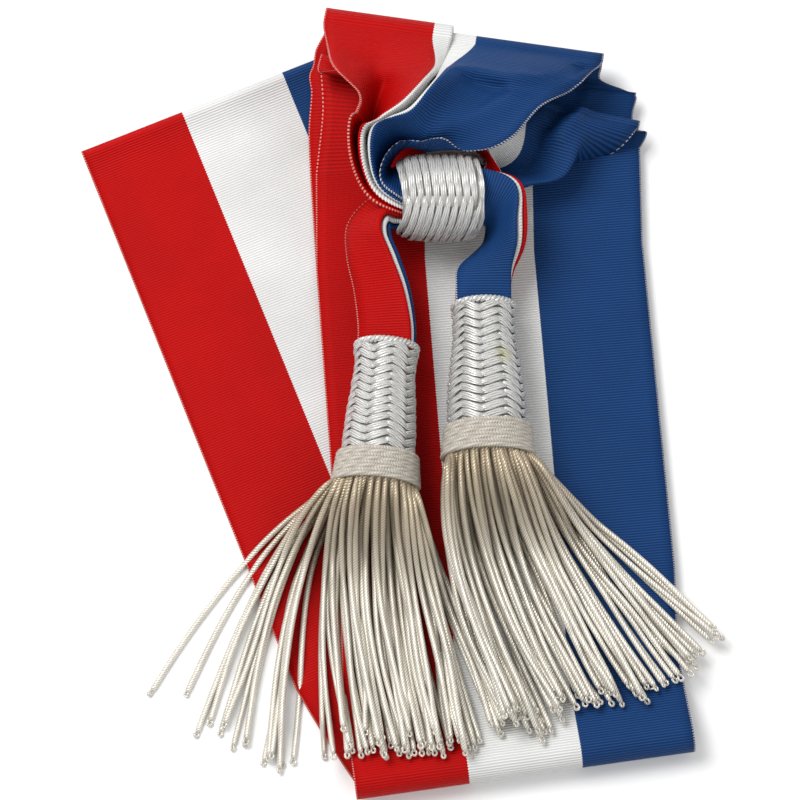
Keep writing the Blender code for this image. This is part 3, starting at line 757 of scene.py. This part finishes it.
class Builder:
    """Collects swept tubes into one mesh."""

    def __init__(self):
        self.points, self.faces, self.uvs = [], [], []
        self.count = 0

    def sweep(self, path, frames, section, capped=True, start=0.0):
        """A tube round the path: section(i) gives its points in the plane of frames[i], (side, up).

        Each ring's first point comes twice, where the UV map starts and ends. The way along begins at start.
        """
        way = start + np.concatenate([[0], np.cumsum(np.linalg.norm(np.diff(path, axis=0), axis=1))])
        cols = len(section(0)) + 1
        for i, middle in enumerate(path):
            ring = section(i)
            ring = np.vstack([ring, ring[:1]])
            side, up = frames[i]
            self.points.append(middle + ring[:, :1] * side + ring[:, 1:] * up)
            self.uvs.append(np.stack([np.linspace(0, 1, cols), np.full(cols, way[i])], 1))
        self.faces += grid_faces(len(path), cols, closed_cols=False, first=self.count)
        if capped:
            last = self.count + (len(path) - 1) * cols
            self.faces.append(tuple(self.count + i for i in range(cols - 1))[::-1])
            self.faces.append(tuple(last + i for i in range(cols - 1)))
        self.count += len(path) * cols

    def build(self, name):
        return mesh_object(name, np.vstack(self.points), self.faces, np.vstack(self.uvs))


def frames_along(path, up):
    """Side and up vectors along a path, the up vectors kept near the wanted ones."""
    path = np.asarray(path)
    ahead = np.gradient(path, axis=0)
    ahead /= np.linalg.norm(ahead, axis=1)[:, None]
    up = np.broadcast_to(np.asarray(up, float), path.shape)
    side = np.cross(ahead, up)
    side /= np.linalg.norm(side, axis=1)[:, None]
    return list(zip(side, np.cross(side, ahead)))


def ellipse(wide, tall, count=8):
    """A ring that starts at its underside."""
    turn = np.linspace(-pi / 2, 1.5 * pi, count, endpoint=False)
    return np.stack([wide * np.cos(turn), tall * np.sin(turn)], 1)


Axis = namedtuple("Axis", "start along side up")


def axis_of(*vectors):
    return Axis(*(np.array(vector) for vector in vectors))


def tassel_axis(tassel):
    """The tassel's axis from its rim on, and the length of its head."""
    *vectors, length = tassel_frame(tassel)
    return axis_of(*vectors), length


#   bands round the tube, distance between rows, a stitch's size and dive, the bands' leans in turn
Knit = namedtuple("Knit", "bands pitch wide tall leans")
SLIDE_KNIT = Knit(bands=4, pitch=2.75 * MM, wide=1.3 * MM, tall=0.8 * MM, leans=(1.7 * MM, -3.0 * MM))
HEAD_KNIT = Knit(bands=10, pitch=3.1 * MM, wide=1.35 * MM, tall=0.6 * MM, leans=(1.5 * MM, -1.5 * MM))
STITCH_POINTS = 10
STITCH_OVERLAP = 1.15
STITCH_BEND = 0.12
STITCH_DIVE = 1.05
STITCH_MARGIN = 0.4 * MM
STITCH_SHIFT = 0.10 * MM
STITCH_RISE = 0.07 * MM
STITCH_TWIST = 0.5
STITCH_TWIST_SPREAD = 0.2
THREADS_APART = 0.62
THREADS_MEET = 0.6
THREAD_RADIUS = 0.41
THREAD_SIDES = 7
THREAD_SPREAD = (0.92, 1.08)
MIDDLE_THREAD_UP = 0.2 * MM


def knitted(name, axis, radius_at, length, knit, turn0, seed):
    """A knitted tube: bands of slanting stitches round the axis, each stitch of three threads."""
    made = Builder()
    random = np.random.default_rng(seed)
    t = np.linspace(-1, 1, STITCH_POINTS)
    rows = round(length / knit.pitch)
    apart = knit.wide * THREADS_APART * np.sqrt(1 - THREADS_MEET * t * t)
    for band in range(knit.bands):
        turn = turn0 + 2 * pi * band / knit.bands + pi / knit.bands * STITCH_OVERLAP * t
        outs = np.cos(turn)[:, None] * axis.up + np.sin(turn)[:, None] * axis.side
        lean = knit.leans[band % len(knit.leans)]
        for row in range(rows):
            place = (row + 0.5) * length / rows + random.normal(0, STITCH_SHIFT)
            place = place + lean * (t + STITCH_BEND * np.sin(pi * t))
            place = np.clip(place, STITCH_MARGIN, length - STITCH_MARGIN)
            sink = knit.tall * (1 + STITCH_DIVE * np.abs(t) ** 3) + random.normal(0, STITCH_RISE)
            reach = np.array([radius_at(p) for p in place]) - sink
            path = axis.start + place[:, None] * axis.along + reach[:, None] * outs
            frames = frames_along(path, outs)
            twists = random.uniform(-STITCH_TWIST_SPREAD, STITCH_TWIST_SPREAD) + STITCH_TWIST * t
            for thread in (-1, 0, 1):
                raised = MIDDLE_THREAD_UP if thread == 0 else 0
                shift = [
                    thread * gap * cos(twist) * side + (thread * gap * sin(twist) + raised) * up
                    for gap, twist, (side, up) in zip(apart, twists, frames)
                ]
                thick = THREAD_RADIUS * knit.wide * random.uniform(*THREAD_SPREAD)
                made.sweep(path + np.array(shift), frames, lambda i: ellipse(thick, thick, THREAD_SIDES))
    return made.build(name)


LINING_SIDES = 40


def lined(name, axis, profile):
    """A plain hollow lining under the stitches: profile gives distance and radius, outside then inside."""
    points, uvs = [], []
    for at, radius in profile:
        for i in range(LINING_SIDES):
            turn = 2 * pi * i / LINING_SIDES
            out = cos(turn) * axis.up + sin(turn) * axis.side
            points.append(axis.start + axis.along * at + radius * out)
            uvs.append((radius * turn, at))
    return mesh_object(name, points, grid_faces(len(profile), LINING_SIDES, closed_rows=True), uvs)


SLIDE_SINK = 0.3 * MM
SLIDE_BARREL = 1.5 * MM
SLIDE_EDGE_DROP = 1.6 * MM
SLIDE_EDGE_START = 0.75
SLIDE_LINING_SINK = 1.7 * MM
SLIDE_LINING_START = 0.05
SLIDE_LINING_RINGS = 9
SLIDE_LINING_GAP = 0.2 * MM


def slide_radius(at):
    """Outer radius of the slide at a distance along its axis: barrelled, and drawn in near both ends."""
    t = 2 * at / SLIDE_LENGTH - 1
    drawn_in = max(abs(t) - SLIDE_EDGE_START, 0) / (1 - SLIDE_EDGE_START)
    return SLIDE_RADIUS - SLIDE_SINK - SLIDE_BARREL * t * t - SLIDE_EDGE_DROP * drawn_in


def make_slide():
    start = (SLIDE_PLACE[0] - SLIDE_LENGTH / 2, SLIDE_PLACE[1], AXIS_HEIGHT)
    axis = axis_of(start, (1, 0, 0), (0, -1, 0), (0, 0, 1))
    stitches = knitted(
        "slide_knit", axis, slide_radius, SLIDE_LENGTH, SLIDE_KNIT, turn0=radians(-24), seed=5
    )
    places = SLIDE_LENGTH * np.linspace(SLIDE_LINING_START, 1 - SLIDE_LINING_START, SLIDE_LINING_RINGS)
    outside = [(at, slide_radius(at) - SLIDE_LINING_SINK) for at in places]
    inside = [(at, SLIDE_BORE - SLIDE_LINING_GAP) for at in (places[-1], places[0])]
    return stitches, lined("slide_lining", axis, outside + inside)


slide, slide_lining = make_slide()

Head = namedtuple("Head", "stitches lining rim")
NECK_SINK = 1.3 * MM
HEAD_END_SINK = 0.4 * MM
HEAD_FULLER = 0.2 * MM
KNIT_START = 2.0 * MM
KNIT_END = 1.0 * MM
HEAD_LINING_SINK = 1.3 * MM
HEAD_LINING_BORE = 2.0 * MM
HEAD_LINING_START = 0.03
HEAD_LINING_RINGS = 12
HEAD_LINING_INSIDE = (1, 0.6, 0.3, HEAD_LINING_START)
RIM_PLACE = 1.3 * MM
RIM_SINK = 0.7 * MM

# Two strands wound round each other into a ring
#   turns, steps in a turn, sway outward and along the axis, radius and sides of a strand
Twist = namedtuple("Twist", "turns steps out along wire sides")
RIM_TWIST = Twist(turns=21, steps=10, out=0.6 * MM, along=0.7 * MM, wire=0.72 * MM, sides=7)
ROW_TWIST = Twist(turns=50, steps=6, out=0.475 * MM, along=0.475 * MM, wire=0.589 * MM, sides=6)


def twisted_ring(made, axis, place, radius, twist, way=1, capped=False):
    """A ring of two strands round the axis, wound one way or the other."""
    count = twist.turns * twist.steps
    for strand in range(2):
        path, outs = [], []
        for i in range(count + 1):
            turn = pi + 2 * pi * i / count
            wound = way * twist.turns * turn + pi * strand
            out = cos(turn) * axis.up + sin(turn) * axis.side
            middle = axis.start + axis.along * (place + twist.along * sin(wound))
            path.append(middle + out * (radius + twist.out * cos(wound)))
            outs.append(out)
        frames = frames_along(path, outs)
        made.sweep(np.array(path), frames, lambda i: ellipse(twist.wire, twist.wire, twist.sides), capped)


def head_radius(tassel, length):
    """Outer radius of a head at a distance from its rim: neck, waist, belly and end."""
    neck = RIM_RADIUS - NECK_SINK
    profile = (
        (0, neck),
        (0.07, neck + HEAD_FULLER),
        (0.16, (neck + tassel.waist) / 2),
        (0.27, tassel.waist),
        (0.5, (tassel.waist + tassel.belly) / 2 + HEAD_FULLER),
        (0.72, tassel.belly),
        (0.88, (tassel.belly + tassel.end) / 2 + HEAD_FULLER / 2),
        (1, tassel.end - HEAD_END_SINK),
    )
    shares, radii = zip(*profile)
    return lambda at: float(np.interp(at / length, shares, radii))


def make_head(tassel, turn0, seed):
    axis, length = tassel_axis(tassel)
    radius_at = head_radius(tassel, length)
    stitches = knitted(
        f"head_{tassel.side}_knit",
        axis._replace(start=axis.start + axis.along * KNIT_START),
        lambda at: radius_at(at + KNIT_START),
        length - KNIT_START - KNIT_END,
        HEAD_KNIT,
        turn0,
        seed,
    )
    places = length * np.linspace(HEAD_LINING_START, 1, HEAD_LINING_RINGS)
    outside = [(at, radius_at(at) - HEAD_LINING_SINK) for at in places]
    inside = [(at, radius_at(at) - HEAD_LINING_BORE) for at in length * np.array(HEAD_LINING_INSIDE)]
    lining = lined(f"head_{tassel.side}_lining", axis, outside + inside)
    edge = Builder()
    twisted_ring(edge, axis, RIM_PLACE, radius_at(0) - RIM_SINK, RIM_TWIST, capped=True)
    return Head(stitches, lining, edge.build(f"head_{tassel.side}_rim"))


COLLAR_ROWS = 8
ROW_SINK = 0.55 * MM
ROW_SWELL = 1.3 * MM
ROW_SWELL_POWER = 1.2


def make_collar(tassel):
    """Rows of cord round the head's end, wound in turn one way and the other."""
    axis, length = tassel_axis(tassel)
    made = Builder()
    for row in range(COLLAR_ROWS):
        share = (row + 0.5) / COLLAR_ROWS
        radius = tassel.end + LAYER_GAP + ROW_SINK + ROW_SWELL * share ** ROW_SWELL_POWER
        place = length - COLLAR_LAP + share * COLLAR_HEIGHT
        twisted_ring(made, axis, place, radius, ROW_TWIST, 1 if row % 2 else -1)
    return made.build(f"collar_{tassel.side}_rows")


def resting_level(x, y):
    """Height of the laid ribbon, or of the floor, under a place."""
    bottom = widths(*BOTTOM_AXIS)
    turn = radians(BOTTOM_HEADING)
    above_roll = (y - bottom[1]) * cos(turn) - (x - bottom[0]) * sin(turn)
    rise = max(RISE_START - max(above_roll, 0), 0) * tan(radians(RISE_SLOPE))
    level = 0.0
    for lean, flat_top in ((LEFT_CHORD, LEFT_LEVEL + RIBBON_WALL / 2), (RIGHT_CHORD, LEG_TOP)):
        sideways = (x - bottom[0]) * cos(lean) + (y - bottom[1]) * sin(lean)
        if RIBBON_WIDTH / 2 > abs(sideways) or (lean == RIGHT_CHORD and x > bottom[0]):
            level = flat_top + rise
    return level


class Cover:
    """Height of what lies on the floor, in small cells, so that each cord rests on those before it."""

    cell = 0.7 * MM
    low = (-125 * MM, -150 * MM)
    counts = np.array((380, 260))
    margin = 2
    beside = 0.7

    def __init__(self, level):
        xs, ys = (low + self.cell * (np.arange(count) + 0.5) for low, count in zip(self.low, self.counts))
        self.heights = np.array([[level(x, y) for y in ys] for x in xs])

    def index(self, path):
        cells = ((path[:, :2] - self.low) / self.cell).astype(int)
        return np.clip(cells, self.margin, self.counts - 1 - self.margin).T

    def around(self):
        """The cell itself and the eight beside it."""
        return [(a, b) for a in (-1, 0, 1) for b in (-1, 0, 1)]

    def under(self, path):
        i, j = self.index(path)
        return np.max([self.heights[i + a, j + b] for a, b in self.around()], axis=0)

    def lay(self, path, top):
        i, j = self.index(path)
        for a, b in self.around():
            rise = top * (1 if a == b == 0 else self.beside)
            np.maximum.at(self.heights, (i + a, j + b), path[:, 2] + rise)


def smoothed(values, width):
    kernel = np.hanning(width + 2)[1:-1]
    padded = np.concatenate([np.full(width // 2, values[0]), values, np.full(width // 2, values[-1])])
    return np.convolve(padded, kernel / kernel.sum(), "valid")[: len(values)]


CORD_RADIUS = 1.05 * MM
CORD_STEP = 1.3 * MM
CORD_SPREAD = (0.93, 1.04)
CORD_END = 0.7
LOOP_WIRE = 0.42 * MM
LOOP_SIZES = (0.65 * MM, 0.95 * MM)
LOOP_TILT = 0.9
LOOP_SWING = 2.9
LOOP_POINTS = 13
LOOP_STRETCH = 1.1
LOOP_SIDES = 6


def rope(made, path, random):
    """One fringe cord, which ends in a small loop."""
    frames = frames_along(path, (0, 0, 1))
    thick = CORD_RADIUS * random.uniform(*CORD_SPREAD)
    last = len(path) - 1
    made.sweep(path, frames, lambda i: ellipse(thick, thick) * (CORD_END if i == last else 1))
    side, up = frames[-1]
    ahead = np.cross(up, side)
    tilt = random.uniform(-LOOP_TILT, LOOP_TILT)
    flat = cos(tilt) * side + sin(tilt) * up
    size = random.uniform(*LOOP_SIZES)
    swing = np.linspace(-LOOP_SWING, LOOP_SWING, LOOP_POINTS)[:, None]
    loop = path[-1] + ahead * (size * LOOP_STRETCH * (1 + np.cos(swing))) + flat * (size * np.sin(swing))
    frames = frames_along(loop, np.cross(flat, ahead))
    made.sweep(loop, frames, lambda i: ellipse(LOOP_WIRE, LOOP_WIRE, LOOP_SIDES), start=last * CORD_STEP)


# Turn of a cord's start: of all to one side, and of the outer ones outward
LEAN = radians(14)
BULGE = radians(12)
LEAD = 0.30
CORD_SLACK = 1.03
# Sideways sway: its spread, how many waves, and how it grows and fades along the cord
SWAY = 1.6 * MM
WAVES = (0.6, 1.5)
SWAY_GROWTH = 1.05
SWAY_FADE = 0.5
# How far cords stray from their place in the fan, and how much shorter than their table they are
LOWER_STRAY = 0.018
UPPER_STRAY = 0.034
SHORTER = (-0.015, 0.028)
# Share of its way on which a cord comes down from the collar
LOWER_FALL = 0.2
UPPER_FALL = 0.42
FALL_POWER = 1.7
FREE_START = 0.03
FALL_SMOOTHING = 13
GROUND_SMOOTHING = 5
LAST_SMOOTHING = 7
# In a cord's radii: its middle over what it lies on, and what it adds for those that follow
REST = 0.92
COVERED = 0.75
ROOT_SINK = 0.1 * MM
ROOT_BACK = 1.6 * MM
ROOT_POINTS = 4
UPPER_TURNS = 1.04
LOWER_TURNS = 0.9


def planned_cords(tips, count, random):
    """Each cord's layer, order, turn round the collar and tip, the lower layer first."""
    tips = np.array(tips)
    cords = []
    for i in range(count):
        upper = i % 2
        share = (i // 2 + 0.5) / (count // 2)
        turn = (share - 0.5) * pi * UPPER_TURNS
        if not upper:
            turn = pi - turn * LOWER_TURNS
        place = share + random.normal(0, UPPER_STRAY if upper else LOWER_STRAY)
        tip = np.array([np.interp(place, tips[:, 2], tips[:, k]) for k in range(2)]) * RIBBON_WIDTH
        cords.append((upper, random.uniform(), turn, tip))
    return sorted(cords, key=lambda cord: cord[:2])


def route_from_above(root, tip, axis, outward, random):
    """A cord's way on the plane: out of the collar with a lean and a bulge, then swaying to its tip."""
    reach = np.linalg.norm(tip - root)
    tip = root + (tip - root) * (1 + random.normal(*SHORTER))
    ahead = tip - root
    along, side = axis.along[:2], axis.side[:2]
    aim = atan2(ahead @ side, ahead @ along) + LEAN + BULGE * (outward @ axis.side)
    lead = root + (along * cos(aim) + side * sin(aim)) * LEAD * reach
    late = (lead + tip) / 2
    t = np.linspace(0, 1, int(reach * CORD_SLACK / CORD_STEP) + 1)[:, None]
    path = (1 - t) ** 3 * root + 3 * (1 - t) ** 2 * t * lead + 3 * (1 - t) * t * t * late + t ** 3 * tip
    waves = random.uniform(*WAVES)
    sway = np.sin(2 * pi * (waves * t + random.uniform())) * t * (SWAY_GROWTH - SWAY_FADE * t)
    sideways = np.array((-ahead[1], ahead[0])) / np.linalg.norm(ahead)
    return path + sway * random.normal(0, SWAY) * sideways


def laid(path, start, fall, cover):
    """The way with its heights: down from the collar on a share of it, then on what lies below."""
    t = np.linspace(0, 1, len(path))
    ground = cover.under(path) + CORD_RADIUS * REST
    drop = np.clip(1 - t / fall, 0, 1) ** FALL_POWER
    heights = np.maximum(ground + (start - ground) * drop, ground)
    ground = smoothed(ground, GROUND_SMOOTHING) * (t > FREE_START)
    heights = smoothed(np.maximum(smoothed(heights, FALL_SMOOTHING), ground), LAST_SMOOTHING)
    heights[:ROOT_POINTS] = np.linspace(start, heights[ROOT_POINTS], ROOT_POINTS, endpoint=False)
    path = np.column_stack([path, heights])
    cover.lay(path[ROOT_POINTS:], CORD_RADIUS * COVERED)
    return path


def make_fringe(tassel, tips, count, seed, cover):
    """Cords from the collar's lower edge to their tips, which a table places."""
    axis, length = tassel_axis(tassel)
    random = np.random.default_rng(seed)
    radius = tassel.end - ROOT_SINK
    centre = axis.start + axis.along * (length + COLLAR_HEIGHT - COLLAR_LAP - ROOT_BACK)
    pieces = Builder()
    for upper, _, turn, tip in planned_cords(tips, count, random):
        outward = -sin(turn) * axis.side
        root = centre + radius * (cos(turn) * axis.up + outward)
        path = route_from_above(root[:2], tip, axis, outward, random)
        rope(pieces, laid(path, root[2], UPPER_FALL if upper else LOWER_FALL, cover), random)
    return pieces.build(f"fringe_{tassel.side}_cords")


#   x, y in ribbon widths, share of the cords that end before
LEFT_FAN = (
    (-0.745, -0.853, 0.00),
    (-0.718, -0.915, 0.03),
    (-0.612, -1.005, 0.05),
    (-0.548, -1.017, 0.08),
    (-0.485, -1.061, 0.12),
    (-0.400, -1.092, 0.14),
    (-0.321, -1.112, 0.19),
    (-0.282, -1.045, 0.21),
    (-0.221, -1.060, 0.23),
    (-0.155, -1.068, 0.27),
    (-0.115, -1.060, 0.30),
    (-0.015, -1.063, 0.50),
    (0.091, -1.070, 0.70),
    (0.185, -1.057, 0.85),
    (0.242, -1.052, 0.93),
    (0.300, -1.020, 1.00),
)
RIGHT_FAN = (
    (0.290, -0.975, 0.00),
    (0.345, -0.970, 0.10),
    (0.400, -0.996, 0.28),
    (0.476, -0.935, 0.42),
    (0.576, -0.913, 0.56),
    (0.645, -0.913, 0.66),
    (0.736, -0.894, 0.77),
    (0.815, -0.860, 0.85),
    (0.855, -0.800, 0.89),
    (0.909, -0.764, 0.94),
    (0.967, -0.702, 1.00),
)

cover = Cover(resting_level)
fringe_left = make_fringe(LEFT_TASSEL, LEFT_FAN, count=70, seed=11, cover=cover)
fringe_right = make_fringe(RIGHT_TASSEL, RIGHT_FAN, count=78, seed=7, cover=cover)
left_head = make_head(LEFT_TASSEL, turn0=radians(4), seed=4)
right_head = make_head(RIGHT_TASSEL, turn0=radians(-10), seed=5)
left_collar = make_collar(LEFT_TASSEL)
right_collar = make_collar(RIGHT_TASSEL)

for look, dressed in (
    (ribbon_material(), (ribbon,)),
    (silver, (slide, left_head.stitches, left_head.rim, right_head.rim)),
    (stained, (right_head.stitches,)),
    # The linings carry the painted shade between the stitches
    (shade_under_stitches, (slide_lining, left_head.lining, right_head.lining)),
    (ropes, (fringe_left, fringe_right)),
    (crochet, (left_collar, right_collar)),
):
    for piece in dressed:
        piece.data.materials.append(look)

PIECES = {
    "ribbon": [ribbon],
    "slide": [slide, slide_lining],
    "tassel_head_left": left_head,
    "tassel_head_right": right_head,
    "tassel_collar_left": [left_collar],
    "tassel_collar_right": [right_collar],
    "fringe_left": [fringe_left],
    "fringe_right": [fringe_right],
}
for cad_node, made in PIECES.items():
    for piece in made:
        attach(piece, "root")
        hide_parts(cad_node)

FLOOR_REACH = 3.0
FLOOR_GREY = (0.88, 0.88, 0.88, 1)
FLOOR_ROUGHNESS = 0.9
SKY_WHITE = (1.0, 1.0, 1.0, 1)
SKY_STRENGTH = 0.55
#   name, place, size, power
LAMPS = (
    ("key", (-0.55, 0.45, 1.1), 0.7, 16),
    ("fill", (0.9, -0.5, 1.2), 1.2, 5),
)


def make_stage():
    """A plain pale floor, an even sky and two soft lamps aimed at the sash."""
    floor, _, shader = shader_of("pale_floor")
    shader.inputs["Base Color"].default_value = FLOOR_GREY
    shader.inputs["Roughness"].default_value = FLOOR_ROUGHNESS
    mesh = bpy.data.meshes.new("floor")
    corners = [(x * FLOOR_REACH, y * FLOOR_REACH, 0) for x, y in ((-1, -1), (1, -1), (1, 1), (-1, 1))]
    mesh.from_pydata(corners, [], [(0, 1, 2, 3)])
    mesh.materials.append(floor)
    plane = bpy.data.objects.new("floor", mesh)
    bpy.context.scene.collection.objects.link(plane)
    world = bpy.data.worlds.new("studio")
    bpy.context.scene.world = world
    world.use_nodes = True
    sky = world.node_tree.nodes["Background"]
    sky.inputs["Color"].default_value = SKY_WHITE
    sky.inputs["Strength"].default_value = SKY_STRENGTH
    for name, place, size, power in LAMPS:
        lamp = bpy.data.lights.new(name, "AREA")
        lamp.size = size
        lamp.energy = power
        obj = bpy.data.objects.new(name, lamp)
        obj.location = place
        obj.rotation_euler = (-Vector(place)).to_track_quat("-Z", "Y").to_euler()
        bpy.context.scene.collection.objects.link(obj)


VIEW_ANGLE = 78
VIEW_DISTANCE = 1.0
LENS = 123.75


def make_camera():
    """The photograph's view: from the foot of the sash, at its angle above the floor."""
    lens = bpy.data.cameras.new("photo")
    lens.sensor_width = 36
    lens.lens = LENS
    camera = bpy.data.objects.new("photo", lens)
    up = radians(VIEW_ANGLE)
    camera.location = (0, -cos(up) * VIEW_DISTANCE, sin(up) * VIEW_DISTANCE)
    camera.rotation_euler = (radians(90 - VIEW_ANGLE), 0, 0)
    bpy.context.scene.collection.objects.link(camera)
    bpy.context.scene.camera = camera


make_stage()
make_camera()
bpy.context.scene.view_settings.view_transform = "Standard"
